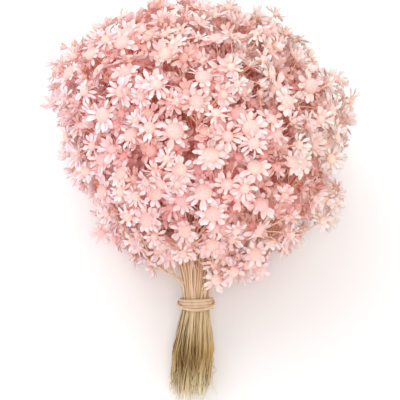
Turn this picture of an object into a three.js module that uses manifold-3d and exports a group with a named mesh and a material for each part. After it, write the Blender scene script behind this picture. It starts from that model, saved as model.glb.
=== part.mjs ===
// Bunch of dried star everlastings: cut sprays held at the neck by a rubber band, lying on their side.
// Millimetres, +Z up. The bunch has its own frame: x to the right, s along the axis from the
// cut ends to the crown of the head, and w out of the side that faces up.
import * as THREE from "three";
import Module from "manifold-3d";

const wasm = await Module();
wasm.setup();

// The bunch as it lies
const lieAngle = THREE.MathUtils.degToRad(25);
const cutEndsHeight = 9.05;
const floorClearance = 0.3;
const pressedBelow = 4.5;

// The neck, and the tail of stalks below it
const neckRadius = 8.6;
const tieCentreAt = 62;
const tieWidth = 8;
const tailWidestAt = 31;
const tailSpread = 1.5;
const tailEndSpread = 1.35;
const tailLean = -4;
const cutEndRange = 15;

// The rubber band: turns side by side
const bandInnerRadius = 10.1;
const bandThickness = 1.8;
const bandGroove = 0.6;
const bandTurns = 4;
const bandSegments = 20;

// The head: its centre, its reach across the bunch every 15 degrees from the right towards the
// crown and round by the left, its reach up and down, and the lowest angle from the crown that
// has blooms
const headCentreAt = 172;
const headLean = 4.5;
const headOutline = [
  94, 101, 89, 87, 90, 85, 87, 93, 92, 100, 106, 103,
  89, 88, 83, 93, 90, 90, 90, 89, 94, 94, 102, 92,
];
const headDepth = 93;
const lowestAngle = THREE.MathUtils.degToRad(160);

// The sprays: a stalk each, whose last straight stretch carries the pedicels
const sprayCount = 46;
const stalkRadius = 1.1;
const stemSides = 3;
const stalkSteps = 3;
const stalkTopDepth = 24;
const stalkBendReach = 320;
const forkLength = 30;
const forkStep = 2.6;
const forkSlope = 0.8;
const shortStalkShare = 0.4;
const pedicelRadius = 0.5;

// The blooms: first one at the end of each stalk, then thrown at random, largest first, with
// how many throws, their radius, and how deep under the outline they may be
const endBlooms = { radius: 9.8, depth: 1, range: 8 };
const thrownBlooms = [
  { throws: 1200, radius: 10.4, depth: 0, range: 6 },
  { throws: 2400, radius: 9.6, depth: 1, range: 12 },
  { throws: 2400, radius: 8.8, depth: 4, range: 22 },
];
const bloomLimit = 268;
const radiusRange = 0.6;
const outlineMargin = 2.5;
const largestTilt = THREE.MathUtils.degToRad(20);
const petalCount = 6;
const petalLift = 0.12;
const notchShare = 0.6;
const buttonShare = 0.4;
const buttonHeight = 3;
const shoulderHeight = 1.3;
const calyxDepth = 2.4;

// How near things may come. The petals of a bloom fill a disc of it, which is taken this much wider
// and this thick to both sides where another bloom's rim, its centre or a stem comes near.
const stemGap = 0.35;
const closestCentres = 8;
const farApart = 1;
const rimPoints = 12;
const toRim = { margin: 0.2, thickness: 2.2 };
const toCentre = { margin: 2, thickness: 5 };
const toStem = { margin: 0.9, thickness: 3.2 };
const runShares = [0, 0.25, 0.5, 0.75, 1];

// The minimal standard random generator
const seed = 20261130;
const generatorFactor = 48271;
const generatorLimit = 2147483647;

const joinTolerance = 0.01;
const smallest = 1e-9;

const axisUp = new THREE.Vector3(0, Math.cos(lieAngle), Math.sin(lieAngle));
const sideUp = new THREE.Vector3(0, -Math.sin(lieAngle), Math.cos(lieAngle));
const downwards = new THREE.Vector3(0, 0, -1);

// Numbers from 0 to 1 that are the same on every run
function seededRandom(start) {
  let state = start;
  return () => {
    state = (state * generatorFactor) % generatorLimit;
    return state / generatorLimit;
  };
}

// A direction and a point of the bunch's own frame
function direction(x, s, w) {
  return new THREE.Vector3(x, 0, 0).addScaledVector(axisUp, s).addScaledVector(sideUp, w);
}

function place(x, s, w) {
  return direction(x, s, w).add(new THREE.Vector3(0, 0, cutEndsHeight));
}

const headCentre = place(headLean, headCentreAt, 0);

// How far the head reaches at an angle from its crown and a turn round its axis
function headReach(fromCrown, turn) {
  const x = Math.sin(fromCrown) * Math.cos(turn);
  const s = Math.cos(fromCrown);
  const across = x * x + s * s;
  const step = ((Math.atan2(s, x) / (2 * Math.PI) + 1) % 1) * headOutline.length;
  const before = Math.floor(step);
  const eased = (1 - Math.cos(Math.PI * (step - before))) / 2;
  const from = headOutline[before % headOutline.length];
  const to = headOutline[(before + 1) % headOutline.length];
  return headDepth * (1 - across) + (from + (to - from) * eased) * across;
}

function outwards(fromCrown, turn) {
  const side = Math.sin(fromCrown);
  return direction(side * Math.cos(turn), Math.cos(fromCrown), side * Math.sin(turn));
}

// A stalk's way through the neck, spread from the axis in the tail
function neckPoint(fromCrown, turn, s, spread = 1, lean = 0) {
  const share = Math.sqrt((1 - Math.cos(fromCrown)) / (1 - Math.cos(lowestAngle)));
  const fromAxis = neckRadius * share * spread;
  return place(lean + fromAxis * Math.cos(turn), s, fromAxis * Math.sin(turn));
}

// A spray's place in the neck and the head, and the points that its stalk goes through
function makeSpray(index) {
  const share = (index + 0.5) / sprayCount;
  const fromCrown = Math.acos(1 - share * (1 - Math.cos(lowestAngle)));
  const turn = index * Math.PI * (3 - Math.sqrt(5));
  const way = outwards(fromCrown, turn);
  const sideway = direction(-Math.sin(turn), 0, Math.cos(turn));
  const cutEnd = neckPoint(fromCrown, turn, random() * cutEndRange, tailEndSpread, tailLean);
  const tail = neckPoint(fromCrown, turn, tailWidestAt, tailSpread, tailLean / 2);
  const underTie = neckPoint(fromCrown, turn, tieCentreAt - tieWidth / 2);
  const overTie = neckPoint(fromCrown, turn, tieCentreAt + tieWidth / 2);
  const end = headCentre.clone().addScaledVector(way, headReach(fromCrown, turn));
  const length = overTie.distanceTo(end);
  const rise = end.clone().sub(overTie).normalize();
  const endWay = way.clone().lerp(rise, 1 - length / stalkBendReach).normalize();
  const top = end.clone().addScaledVector(endWay, -Math.min(stalkTopDepth, shortStalkShare * length));
  const forkStretch = Math.min(forkLength, shortStalkShare * length);
  const fork = top.clone().addScaledVector(endWay, -forkStretch);
  const bend = overTie.distanceTo(fork) / 3;
  const curve = new THREE.CubicBezierCurve3(
    overTie,
    overTie.clone().addScaledVector(axisUp, bend),
    fork.clone().addScaledVector(endWay, -bend),
    fork,
  );
  const stalk = [cutEnd, tail, underTie, ...curve.getPoints(stalkSteps), top];
  const forks = new Array(Math.floor(forkStretch / forkStep)).fill(false);
  return { fromCrown, turn, way, sideway, end, endWay, top, stalk, runs: runsOf(stalk), forks, blooms: [] };
}

function runsOf(points) {
  return points.slice(1).map((point, index) => [points[index], point]);
}

const random = seededRandom(seed);
const sprays = Array.from({ length: sprayCount }, (_, index) => makeSpray(index));

function nearestSpray(way) {
  return sprays.reduce((best, spray) => (spray.way.dot(way) > best.way.dot(way) ? spray : best));
}

// The free place on the stalk that suits a bloom best: lower down for one further to the side
function chooseFork(spray, centre) {
  const wanted = (forkSlope * spray.end.distanceTo(centre)) / forkStep;
  let best = -1;
  spray.forks.forEach((taken, fork) => {
    if (!taken && (best < 0 || Math.abs(fork - wanted) < Math.abs(best - wanted))) best = fork;
  });
  return best;
}

// A bloom of the spray towards a place in the head, on a pedicel or at the end of the stalk
function makeBloom(size, fromCrown, turn, spray, atEnd) {
  const radius = size.radius + (random() * 2 - 1) * radiusRange;
  const under = outlineMargin + size.depth + random() * size.range;
  const tilt = random() * largestTilt;
  const tiltTurn = random() * 2 * Math.PI;
  const phase = ((random() * 2 - 1) * Math.PI) / petalCount;
  const way = outwards(fromCrown, turn);
  const centre = headCentre.clone().addScaledVector(way, headReach(fromCrown, turn) - under);
  const fork = atEnd ? 0 : chooseFork(spray, centre);
  const root = spray.top.clone();
  if (!atEnd) root.addScaledVector(spray.endWay, -forkStep * (fork + 0.5));
  const face = centre.clone().sub(root).normalize().add(way).normalize();
  const across = new THREE.Vector3().crossVectors(face, spray.sideway).normalize();
  const sideways = new THREE.Vector3().crossVectors(across, face);
  face.multiplyScalar(Math.cos(tilt));
  face.addScaledVector(sideways, Math.sin(tilt) * Math.cos(tiltTurn));
  face.addScaledVector(across, Math.sin(tilt) * Math.sin(tiltTurn));
  const pressed = centre.z < pressedBelow;
  if (pressed) {
    face.copy(downwards);
    centre.z = buttonHeight;
  }
  const reach = radius * Math.sqrt(1 - face.z * face.z) - buttonHeight * Math.min(face.z, 0);
  if (!pressed) centre.z = Math.max(centre.z, reach + floorClearance);
  const calyx = centre.clone().addScaledVector(face, -calyxDepth);
  return { centre, face, radius, phase, pressed, spray, fork, atEnd, pedicel: [root, calyx] };
}

function bloomAxes(bloom) {
  const up = new THREE.Vector3().crossVectors(bloom.face, bloom.spray.sideway).normalize();
  return { up, side: new THREE.Vector3().crossVectors(up, bloom.face) };
}

// The gap between two straight runs
function runGap([from, to], [otherFrom, otherTo]) {
  const limit = THREE.MathUtils.clamp;
  const run = to.clone().sub(from);
  const otherRun = otherTo.clone().sub(otherFrom);
  const offset = from.clone().sub(otherFrom);
  const length = run.dot(run);
  const otherLength = otherRun.dot(otherRun);
  const both = run.dot(otherRun);
  const spread = length * otherLength - both * both;
  const nearest = (both * otherRun.dot(offset) - otherLength * run.dot(offset)) / (spread + smallest);
  const otherShare = limit((both * limit(nearest, 0, 1) + otherRun.dot(offset)) / otherLength, 0, 1);
  const share = limit((both * otherShare - run.dot(offset)) / length, 0, 1);
  return offset.addScaledVector(run, share).addScaledVector(otherRun, -otherShare).length();
}

// Whether a point comes near the disc that a bloom's petals fill
function nearDisc(point, bloom, { margin, thickness }) {
  const from = point.clone().sub(bloom.centre);
  const height = from.dot(bloom.face);
  if (Math.abs(height) > thickness) return false;
  return from.lengthSq() - height * height < (bloom.radius + margin) ** 2;
}

function rimTouches(bloom, other) {
  if (nearDisc(bloom.centre, other, toCentre)) return true;
  const { up, side } = bloomAxes(bloom);
  for (let step = 0; step < rimPoints; step += 1) {
    const angle = (step * 2 * Math.PI) / rimPoints;
    const rim = bloom.centre.clone().addScaledVector(bloom.face, petalLift * bloom.radius);
    rim.addScaledVector(side, bloom.radius * Math.cos(angle));
    rim.addScaledVector(up, bloom.radius * Math.sin(angle));
    if (nearDisc(rim, other, toRim)) return true;
  }
  return false;
}

function bloomsTouch(bloom, other) {
  const gap = bloom.centre.distanceTo(other.centre);
  if (gap > bloom.radius + other.radius + farApart) return false;
  return gap < closestCentres || rimTouches(bloom, other) || rimTouches(other, bloom);
}

function runCrosses([from, to], bloom) {
  const start = from.clone().sub(bloom.centre).dot(bloom.face);
  const end = to.clone().sub(bloom.centre).dot(bloom.face);
  const shares = start * end < 0 ? [...runShares, start / (start - end)] : runShares;
  return shares.some((share) => nearDisc(from.clone().lerp(to, share), bloom, toStem));
}

const stemSpacing = stalkRadius + pedicelRadius + stemGap;

function clearOfBloom(bloom, other) {
  if (bloomsTouch(bloom, other)) return false;
  if (runCrosses(other.pedicel, bloom) || runCrosses(bloom.pedicel, other)) return false;
  return bloom.spray === other.spray || runGap(bloom.pedicel, other.pedicel) > stemSpacing;
}

function clearOfStalk(bloom, spray) {
  if (spray.runs.some((run) => runCrosses(run, bloom))) return false;
  return spray === bloom.spray || spray.runs.every((run) => runGap(run, bloom.pedicel) > stemSpacing);
}

// Blooms are kept where they touch no other bloom or stem
const blooms = [];
function keepBloom(bloom) {
  if (bloom.fork < 0) return;
  if (!blooms.every((other) => clearOfBloom(bloom, other))) return;
  if (!sprays.every((spray) => clearOfStalk(bloom, spray))) return;
  blooms.push(bloom);
  bloom.spray.blooms.push(bloom);
  bloom.spray.forks[bloom.fork] = true;
}

sprays.forEach((spray) => {
  keepBloom(makeBloom(endBlooms, spray.fromCrown, spray.turn, spray, true));
});
for (const size of thrownBlooms) {
  for (let attempt = 0; attempt < size.throws && blooms.length < bloomLimit; attempt += 1) {
    const fromCrown = Math.acos(1 - random() * (1 - Math.cos(lowestAngle)));
    const turn = random() * 2 * Math.PI;
    const spray = nearestSpray(outwards(fromCrown, turn));
    keepBloom(makeBloom(size, fromCrown, turn, spray, false));
  }
}

// A closed solid from its corners and faces
function solid(corners, faces) {
  return new wasm.Manifold(new wasm.Mesh({
    numProp: 3,
    vertProperties: new Float32Array(corners.flatMap((corner) => corner.toArray())),
    triVerts: new Uint32Array(faces.flat()),
  }));
}

// A stem along its points, closed at its root, that widens into the calyx, petals and button
function stemWithBloom(points, radii, bloom) {
  const { centre, face, radius, phase, pressed, spray } = bloom;
  const corners = [];
  const faces = [[0, 2, 1]];
  points.forEach((point, index) => {
    const before = points[Math.max(index - 1, 0)];
    const after = points[Math.min(index + 1, points.length - 1)];
    const along = after.clone().sub(before).normalize();
    const up = new THREE.Vector3().crossVectors(along, spray.sideway).normalize();
    const side = new THREE.Vector3().crossVectors(up, along);
    for (let corner = 0; corner < stemSides; corner += 1) {
      const angle = (corner * 2 * Math.PI) / stemSides;
      corners.push(point.clone()
        .addScaledVector(side, radii[index] * Math.cos(angle))
        .addScaledVector(up, radii[index] * Math.sin(angle)));
      if (index === 0) continue;
      const low = (index - 1) * stemSides + corner;
      const lowNext = (index - 1) * stemSides + ((corner + 1) % stemSides);
      faces.push([low, lowNext, low + stemSides]);
      faces.push([lowNext, lowNext + stemSides, low + stemSides]);
    }
  });

  const { up, side } = bloomAxes(bloom);
  const around = (angle, distance, height) => centre.clone()
    .addScaledVector(side, distance * Math.cos(angle))
    .addScaledVector(up, distance * Math.sin(angle))
    .addScaledVector(face, height);
  const stemRing = corners.length - stemSides;
  const rim = corners.length;
  const rimCount = 2 * petalCount;
  for (let petal = 0; petal < petalCount; petal += 1) {
    const angle = phase + (petal * 2 * Math.PI) / petalCount;
    corners.push(around(angle, radius, petalLift * radius));
    corners.push(around(angle + Math.PI / petalCount, notchShare * radius, 0));
  }
  const ring = corners.length;
  const shoulder = pressed ? buttonHeight : shoulderHeight;
  for (let petal = 0; petal < petalCount; petal += 1) {
    corners.push(around(phase + (petal * 2 * Math.PI) / petalCount, buttonShare * radius, shoulder));
  }
  const apex = corners.length;
  corners.push(around(0, 0, buttonHeight));
  for (let petal = 0; petal < petalCount; petal += 1) {
    const next = (petal + 1) % petalCount;
    const tip = rim + 2 * petal;
    const notch = tip + 1;
    faces.push([tip, notch, ring + petal]);
    faces.push([notch, rim + 2 * next, ring + next]);
    faces.push([notch, ring + next, ring + petal]);
    faces.push([ring + petal, ring + next, apex]);
  }
  for (let edge = 0; edge < rimCount; edge += 1) {
    const corner = Math.floor((edge * stemSides) / rimCount);
    const nextCorner = Math.floor(((edge + 1) * stemSides) / rimCount) % stemSides;
    const next = rim + ((edge + 1) % rimCount);
    faces.push([rim + edge, stemRing + corner, next]);
    if (corner !== nextCorner) faces.push([stemRing + corner, stemRing + nextCorner, next]);
  }
  return solid(corners, faces);
}

// A spray: the stalk with the bloom at its end, and a pedicel with a bloom at each fork
function sprayGeometry(spray) {
  const stalkRadii = [...spray.stalk.map(() => stalkRadius), pedicelRadius];
  const parts = spray.blooms.map((bloom) => {
    if (!bloom.atEnd) return stemWithBloom(bloom.pedicel, [pedicelRadius, pedicelRadius], bloom);
    return stemWithBloom([...spray.stalk, bloom.pedicel[1]], stalkRadii, bloom);
  });
  const mesh = wasm.Manifold.union(parts).simplify(joinTolerance).getMesh();
  const geometry = new THREE.BufferGeometry();
  geometry.setAttribute("position", new THREE.BufferAttribute(mesh.vertProperties, 3));
  geometry.setIndex(new THREE.BufferAttribute(mesh.triVerts, 1));
  return geometry;
}

// The rubber band: a ring with a groove between each turn and the next
function bandGeometry() {
  const turnWidth = tieWidth / bandTurns;
  const outer = bandInnerRadius + bandThickness;
  const profile = [new THREE.Vector2(bandInnerRadius, -tieWidth / 2)];
  for (let turn = 0; turn < bandTurns; turn += 1) {
    const low = -tieWidth / 2 + turn * turnWidth;
    profile.push(new THREE.Vector2(outer - bandGroove, low));
    profile.push(new THREE.Vector2(outer, low + turnWidth / 2));
  }
  profile.push(new THREE.Vector2(outer - bandGroove, tieWidth / 2));
  profile.push(new THREE.Vector2(bandInnerRadius, tieWidth / 2));
  profile.push(profile[0].clone());
  return new THREE.LatheGeometry(profile, bandSegments);
}

const bunch = new THREE.Group();
sprays.forEach((spray, index) => {
  const material = new THREE.MeshStandardMaterial({ color: 0xe4b4ad, roughness: 0.85, metalness: 0 });
  const mesh = new THREE.Mesh(sprayGeometry(spray), material);
  mesh.name = `spray_${String(index).padStart(2, "0")}`;
  bunch.add(mesh);
});

const bandMaterial = new THREE.MeshStandardMaterial({ color: 0xc9a27a, roughness: 0.6, metalness: 0 });
const band = new THREE.Mesh(bandGeometry(), bandMaterial);
band.name = "tie";
band.position.copy(place(0, tieCentreAt, 0));
band.quaternion.setFromUnitVectors(new THREE.Vector3(0, 1, 0), axisUp);
bunch.add(band);

// The origin is under the middle of the whole bunch, on the surface that it lies on
const box = new THREE.Box3().setFromObject(bunch);
bunch.position.set(-(box.min.x + box.max.x) / 2, -(box.min.y + box.max.y) / 2, -box.min.z);
const group = new THREE.Group();
group.add(bunch);

export default group;
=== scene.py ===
# Dried star everlastings: one tied bunch of cut sprays that lies on its side on a pale floor.
# The bunch has its own frame, in millimetres: x to the right, s along the axis from the cut ends
# to the crown of the head, and w out of the side that faces up.
from math import acos, atan2, cos, dist, pi, radians, sin, sqrt, tau

import bmesh
import bpy
import numpy as np
from mathutils import Matrix, Vector


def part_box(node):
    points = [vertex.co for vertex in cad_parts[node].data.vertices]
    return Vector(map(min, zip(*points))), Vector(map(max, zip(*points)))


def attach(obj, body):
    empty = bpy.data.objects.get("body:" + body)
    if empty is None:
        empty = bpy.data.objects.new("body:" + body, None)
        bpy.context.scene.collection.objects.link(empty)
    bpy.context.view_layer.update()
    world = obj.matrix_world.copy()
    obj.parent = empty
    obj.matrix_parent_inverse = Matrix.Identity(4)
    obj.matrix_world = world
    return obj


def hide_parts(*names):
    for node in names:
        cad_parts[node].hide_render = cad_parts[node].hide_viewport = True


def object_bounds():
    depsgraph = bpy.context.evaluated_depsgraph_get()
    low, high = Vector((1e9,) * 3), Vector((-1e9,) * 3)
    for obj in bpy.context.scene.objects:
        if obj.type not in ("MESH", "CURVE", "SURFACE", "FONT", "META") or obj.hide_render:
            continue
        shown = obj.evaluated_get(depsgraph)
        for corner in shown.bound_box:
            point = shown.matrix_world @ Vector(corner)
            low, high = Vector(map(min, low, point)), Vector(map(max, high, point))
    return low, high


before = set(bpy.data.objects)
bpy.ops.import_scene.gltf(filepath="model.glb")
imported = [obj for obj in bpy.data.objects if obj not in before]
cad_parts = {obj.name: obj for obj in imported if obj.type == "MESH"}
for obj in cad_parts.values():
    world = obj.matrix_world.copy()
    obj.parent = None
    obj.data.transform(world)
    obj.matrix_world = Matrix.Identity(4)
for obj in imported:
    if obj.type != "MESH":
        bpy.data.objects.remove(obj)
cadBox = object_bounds()
mm = 0.001
closeBy = 1e-5  # in metres: points are picked by their place within this

# Each stage draws its own random numbers, so a change to one leaves the others as they are
seeds = {"plan": 20261130, "buttons": 3, "blooms": 4112, "extras": 77, "stems": 905}

# Where the sprays and their blooms are, in millimetres
lying = {"angle": radians(25), "cutEndsHeight": 9.05, "floorClearance": 0.3, "pressedBelow": 4.5}
neck = {
    "radius": 8.6, "tieCentreAt": 62, "tieWidth": 8,
    "tailWidestAt": 31, "tailSpread": 1.5, "tailEndSpread": 1.35, "tailLean": -4, "cutEndRange": 15,
}
head = {
    "centreAt": 172, "lean": 4.5, "depth": 93, "lowestAngle": radians(160),
    "outline": [
        94, 101, 89, 87, 90, 85, 87, 93, 92, 100, 106, 103,
        89, 88, 83, 93, 90, 90, 90, 89, 94, 94, 102, 92,
    ],
}
stalks = {
    "count": 46, "radius": 1.1, "steps": 3, "topDepth": 24, "bendReach": 320,
    "forkLength": 30, "forkStep": 2.6, "forkSlope": 0.8, "shortShare": 0.4, "pedicelRadius": 0.5,
}
endBlooms = {"radius": 9.8, "depth": 1, "range": 8}
thrownBlooms = [
    {"throws": 1200, "radius": 10.4, "depth": 0, "range": 6},
    {"throws": 2400, "radius": 9.6, "depth": 1, "range": 12},
    {"throws": 2400, "radius": 8.8, "depth": 4, "range": 22},
]
bloomForm = {
    "limit": 268, "radiusRange": 0.6, "outlineMargin": 2.5, "largestTilt": radians(20),
    "petalLift": 0.12, "buttonHeight": 3, "calyxDepth": 2.4,
}
spacing = {
    "stemGap": 0.35, "closestCentres": 8, "farApart": 1, "rimPoints": 12,
    "toRim": (0.2, 2.2), "toCentre": (2, 5), "toStem": (0.9, 3.2), "runShares": (0, 0.25, 0.5, 0.75, 1),
}

axisUp = np.array([0, cos(lying["angle"]), sin(lying["angle"])])
sideUp = np.array([0, -sin(lying["angle"]), cos(lying["angle"])])


# The same numbers as the solids were placed with
def seededNumbers(state, factor=48271, modulus=2147483647):
    while True:
        state = state * factor % modulus
        yield state / modulus


# Turns that spread things evenly round a middle
def goldenTurn(index):
    return index * pi * (3 - sqrt(5))


def direction(x, s, w):
    return np.array([x, 0, 0]) + axisUp * s + sideUp * w


def place(x, s, w):
    return direction(x, s, w) + np.array([0, 0, lying["cutEndsHeight"]])


def unit(way):
    return way / sqrt(way @ way)


def dot(one, other):
    return (one * other).sum(axis=-1)


headCentre = place(head["lean"], head["centreAt"], 0)


# How far the head reaches at an angle from its crown and a turn round its axis
def headReach(fromCrown, turn):
    x = sin(fromCrown) * cos(turn)
    s = cos(fromCrown)
    across = x * x + s * s
    outline = head["outline"]
    step = ((atan2(s, x) / (2 * pi) + 1) % 1) * len(outline)
    before = int(step)
    eased = (1 - cos(pi * (step - before))) / 2
    start = outline[before % len(outline)]
    end = outline[(before + 1) % len(outline)]
    return head["depth"] * (1 - across) + (start + (end - start) * eased) * across


def outwards(fromCrown, turn):
    side = sin(fromCrown)
    return direction(side * cos(turn), cos(fromCrown), side * sin(turn))


# The angle from the crown that has a share of the head above it
def angleOf(share):
    return acos(1 - share * (1 - cos(head["lowestAngle"])))


def neckPoint(fromCrown, turn, s, spread=1, lean=0):
    share = sqrt((1 - cos(fromCrown)) / (1 - cos(head["lowestAngle"])))
    fromAxis = neck["radius"] * share * spread
    return place(lean + fromAxis * cos(turn), s, fromAxis * sin(turn))


def bezierPoints(start, startPull, endPull, end, steps):
    shares = np.linspace(0, 1, steps + 1)[:, None]
    rest = 1 - shares
    return list(
        rest**3 * start + 3 * rest**2 * shares * startPull
        + 3 * rest * shares**2 * endPull + shares**3 * end)


def planSpray(index, numbers):
    fromCrown = angleOf((index + 0.5) / stalks["count"])
    turn = goldenTurn(index)
    way = outwards(fromCrown, turn)
    cutAt = next(numbers) * neck["cutEndRange"]
    cutEnd = neckPoint(fromCrown, turn, cutAt, neck["tailEndSpread"], neck["tailLean"])
    tail = neckPoint(fromCrown, turn, neck["tailWidestAt"], neck["tailSpread"], neck["tailLean"] / 2)
    underTie = neckPoint(fromCrown, turn, neck["tieCentreAt"] - neck["tieWidth"] / 2)
    overTie = neckPoint(fromCrown, turn, neck["tieCentreAt"] + neck["tieWidth"] / 2)
    end = headCentre + way * headReach(fromCrown, turn)
    length = dist(overTie, end)
    rise = unit(end - overTie)
    endWay = unit(way + (rise - way) * (1 - length / stalks["bendReach"]))
    top = end - endWay * min(stalks["topDepth"], stalks["shortShare"] * length)
    forkStretch = min(stalks["forkLength"], stalks["shortShare"] * length)
    fork = top - endWay * forkStretch
    bend = dist(overTie, fork) / 3
    rising = bezierPoints(overTie, overTie + axisUp * bend, fork - endWay * bend, fork, stalks["steps"])
    return {
        "index": index, "fromCrown": fromCrown, "turn": turn, "way": way, "end": end, "endWay": endWay,
        "sideway": direction(-sin(turn), 0, cos(turn)),
        "stalk": [cutEnd, tail, underTie, *rising, top], "top": top,
        "forks": [False] * int(forkStretch / stalks["forkStep"]), "blooms": [],
    }


def chooseFork(spray, centre):
    wanted = stalks["forkSlope"] * dist(spray["end"], centre) / stalks["forkStep"]
    free = [fork for fork, taken in enumerate(spray["forks"]) if not taken]
    return min(free, key=lambda fork: abs(fork - wanted)) if free else None


def newBloom(spray, centre, face, radius, **more):
    up = unit(np.cross(face, spray["sideway"]))
    return {
        "spray": spray["index"], "centre": centre, "face": face, "up": up, "side": np.cross(up, face),
        "radius": radius, **more,
    }


def planBloom(size, fromCrown, turn, spray, atEnd, numbers):
    radius = size["radius"] + (next(numbers) * 2 - 1) * bloomForm["radiusRange"]
    under = bloomForm["outlineMargin"] + size["depth"] + next(numbers) * size["range"]
    tilt = next(numbers) * bloomForm["largestTilt"]
    tiltTurn = next(numbers) * 2 * pi
    next(numbers)  # only turns the solid star about its own middle
    way = outwards(fromCrown, turn)
    centre = headCentre + way * (headReach(fromCrown, turn) - under)
    fork = 0 if atEnd else chooseFork(spray, centre)
    if fork is None:
        return None
    root = spray["top"]
    if not atEnd:
        root = root - spray["endWay"] * stalks["forkStep"] * (fork + 0.5)
    face = unit(unit(centre - root) + way)
    across = unit(np.cross(face, spray["sideway"]))
    sideways = np.cross(across, face)
    aslant = sideways * cos(tiltTurn) + across * sin(tiltTurn)
    face = face * cos(tilt) + aslant * sin(tilt)
    pressed = bool(centre[2] < lying["pressedBelow"])
    if pressed:
        face = np.array([0.0, 0.0, -1.0])
        centre[2] = bloomForm["buttonHeight"]
    else:
        reach = radius * sqrt(1 - face[2] ** 2) - bloomForm["buttonHeight"] * min(face[2], 0)
        centre[2] = max(centre[2], reach + lying["floorClearance"])
    calyx = centre - face * bloomForm["calyxDepth"]
    return newBloom(
        spray, centre, face, radius, root=root, calyx=calyx, pressed=pressed, fork=fork, atEnd=atEnd)


discKeys = ("centre", "face", "up", "side", "radius")


def columns(ones, *keys):
    return [np.array([one[key] for one in ones]) for key in keys]


# A disc is a middle, the way it faces and a radius
def nearDisc(point, disc, margin, thickness):
    centre, face, radius = disc
    gap = point - centre
    height = dot(gap, face)
    return (abs(height) <= thickness) & (dot(gap, gap) - height**2 < (radius + margin) ** 2)


def rimOf(disc, up, side):
    centre, face, radius = disc
    angles = np.arange(spacing["rimPoints"]) * 2 * pi / spacing["rimPoints"]
    angles = angles.reshape(-1, *[1] * centre.ndim)
    reach = np.asarray(radius)[..., None]
    around = side * np.cos(angles) + up * np.sin(angles)
    return centre + face * bloomForm["petalLift"] * reach + around * reach


# Whether a bloom's middle or rim is near the discs of others, or theirs near its own
def meetsDiscs(bloom, discs, near, share, toCentre, toRim):
    centres, faces, ups, sides, radii = (column[near] for column in discs)
    disc = (bloom["centre"], bloom["face"], bloom["radius"] * share)
    discs = (centres, faces, radii * share)
    rim = rimOf(disc, bloom["up"], bloom["side"])[:, None]
    return bool(
        nearDisc(bloom["centre"], discs, *toCentre).any() or nearDisc(centres, disc, *toCentre).any()
        or nearDisc(rim, discs, *toRim).any() or nearDisc(rimOf(discs, ups, sides), disc, *toRim).any())


def runCrosses(start, end, disc):
    centre, face, _ = disc
    before = dot(start - centre, face)
    after = dot(end - centre, face)
    through = before * after < 0
    crossing = np.where(through, before / np.where(through, before - after, 1), 0)
    shares = [np.full_like(crossing, share) for share in spacing["runShares"]] + [crossing]
    points = start + (end - start) * np.stack(shares)[..., None]
    return nearDisc(points, disc, *spacing["toStem"]).any(axis=0)


def runGap(start, end, otherStart, otherEnd):
    run, otherRun, offset = end - start, otherEnd - otherStart, start - otherStart
    length, otherLength, both = dot(run, run), dot(otherRun, otherRun), dot(run, otherRun)
    nearest = both * dot(otherRun, offset) - otherLength * dot(run, offset)
    nearest = nearest / (length * otherLength - both**2 + 1e-9)  # parallel runs don't divide by zero
    otherShare = np.clip((both * np.clip(nearest, 0, 1) + dot(otherRun, offset)) / otherLength, 0, 1)
    share = np.clip((both * otherShare - dot(run, offset)) / length, 0, 1)
    gap = offset + run * share[..., None] - otherRun * otherShare[..., None]
    return np.sqrt(dot(gap, gap))


def isClear(bloom, others, runs):
    disc, run = (bloom["centre"], bloom["face"], bloom["radius"]), (bloom["root"], bloom["calyx"])
    stemSpacing = stalks["radius"] + stalks["pedicelRadius"] + spacing["stemGap"]
    if others:
        discs = columns(others, *discKeys)
        centres, faces, radii = discs[0], discs[1], discs[-1]
        roots, calyces, owners = columns(others, "root", "calyx", "spray")
        apart = np.linalg.norm(centres - bloom["centre"], axis=1)
        near = apart <= radii + bloom["radius"] + spacing["farApart"]
        foreign = owners != bloom["spray"]
        if ((apart[near] < spacing["closestCentres"]).any()
                or meetsDiscs(bloom, discs, near, 1, spacing["toCentre"], spacing["toRim"])
                or runCrosses(roots, calyces, disc).any()
                or runCrosses(*run, (centres, faces, radii)).any()
                or (runGap(*run, roots, calyces)[foreign] <= stemSpacing).any()):
            return False
    starts, ends, owners = runs
    if runCrosses(starts, ends, disc).any():
        return False
    foreign = owners != bloom["spray"]
    return bool((runGap(starts, ends, *run)[foreign] > stemSpacing).all())


def planBunch():
    numbers = seededNumbers(seeds["plan"])
    sprays = [planSpray(index, numbers) for index in range(stalks["count"])]
    ways = np.array([spray["way"] for spray in sprays])
    runs = [
        (start, end, spray["index"])
        for spray in sprays for start, end in zip(spray["stalk"], spray["stalk"][1:])]
    runs = tuple(np.array(column) for column in zip(*runs))
    blooms = []

    def keep(bloom):
        if bloom is None or not isClear(bloom, blooms, runs):
            return
        blooms.append(bloom)
        sprays[bloom["spray"]]["blooms"].append(bloom)
        sprays[bloom["spray"]]["forks"][bloom["fork"]] = True

    for spray in sprays:
        keep(planBloom(endBlooms, spray["fromCrown"], spray["turn"], spray, True, numbers))
    for size in thrownBlooms:
        for _ in range(size["throws"]):
            if len(blooms) == bloomForm["limit"]:
                break
            fromCrown, turn = angleOf(next(numbers)), next(numbers) * 2 * pi
            spray = sprays[int(np.argmax(ways @ outwards(fromCrown, turn)))]
            keep(planBloom(size, fromCrown, turn, spray, False, numbers))
    return sprays, blooms


sprays, blooms = planBunch()
print("planned", len(sprays), "sprays with", len(blooms), "blooms")


# From the bunch's millimetres to the row frame's metres
tieLow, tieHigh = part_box("tie")
bunchShift = np.array((tieLow + tieHigh) / 2, float) - place(0, neck["tieCentreAt"], 0) * mm


def inRow(point):
    return Vector(np.asarray(point) * mm + bunchShift)


# Small helpers for modelling
def deselect():
    bpy.ops.object.select_all(action="DESELECT")


def selectOnly(*objects):
    deselect()
    for one in objects:
        one.select_set(True)
    bpy.context.view_layer.objects.active = objects[0]


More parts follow.
